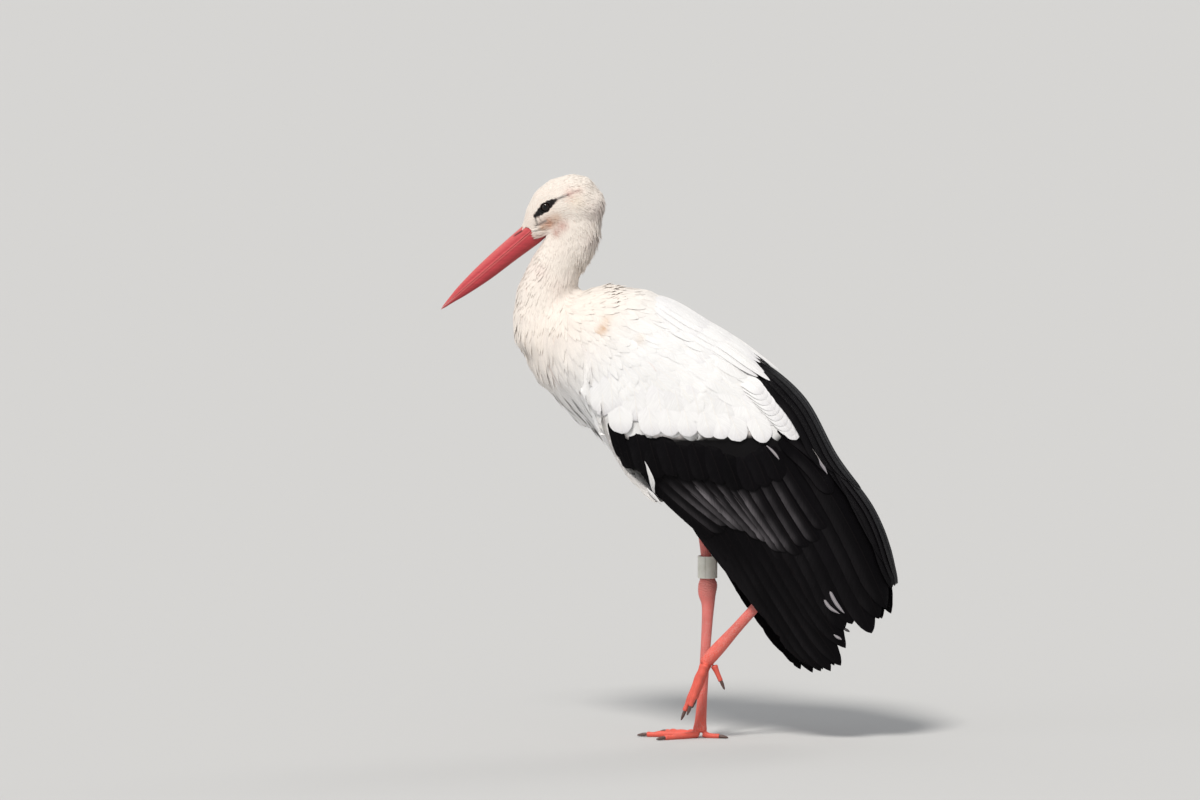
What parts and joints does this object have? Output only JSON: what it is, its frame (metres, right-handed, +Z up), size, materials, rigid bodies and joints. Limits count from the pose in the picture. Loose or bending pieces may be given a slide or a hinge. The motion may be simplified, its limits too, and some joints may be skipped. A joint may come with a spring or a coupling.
{
  "type": "white stork display model",
  "caption": "Life-size still model of a white stork in mid step with a foot lifted: black and white plumage, red bill and legs, and a plain white leg ring.",
  "frame": {"origin": "on the floor, under the middle of the bird's box", "axes": "+Z up, the bird faces -Y, its left side is +X"},
  "size_m": [0.2026, 0.647, 0.7946],
  "materials": {
    "white_plumage": "soft matt feathers",
    "black_plumage": "satin feathers",
    "bill": "satin horn",
    "leg_skin": "satin scaly skin",
    "claw": "satin horn",
    "eye": "polished",
    "leg_ring": "satin"
  },
  "bodies": {
    "root": {"scapulars_left": "white_plumage", "coverts_left": "white_plumage", "greater_coverts_left": "black_plumage", "secondaries_left": "black_plumage", "tertials_left": "black_plumage", "primaries_left": "black_plumage", "scapulars_right": "white_plumage", "coverts_right": "white_plumage", "greater_coverts_right": "black_plumage", "secondaries_right": "black_plumage", "tertials_right": "black_plumage", "primaries_right": "black_plumage", "tarsus_right": "leg_skin", "toe_middle_right": "leg_skin", "claw_middle_right": "claw", "toe_inner_right": "leg_skin", "claw_inner_right": "claw", "toe_outer_right": "leg_skin", "claw_outer_right": "claw", "toe_hind_right": "leg_skin", "claw_hind_right": "claw", "tarsus_left": "leg_skin", "toe_middle_left": "leg_skin", "claw_middle_left": "claw", "toe_inner_left": "leg_skin", "claw_inner_left": "claw", "toe_outer_left": "leg_skin", "claw_outer_left": "claw", "toe_hind_left": "leg_skin", "claw_hind_left": "claw", "thigh_left": "white_plumage", "tibia_left": "leg_skin", "thigh_right": "white_plumage", "tibia_right": "leg_skin", "leg_ring_right": "leg_ring", "bill_upper": "bill", "bill_lower": "bill", "eye_left": "eye", "eye_right": "eye", "head": "white_plumage", "neck": "white_plumage", "breast": "white_plumage", "trunk": "white_plumage", "tail": "white_plumage"}
  },
  "joints": []
}
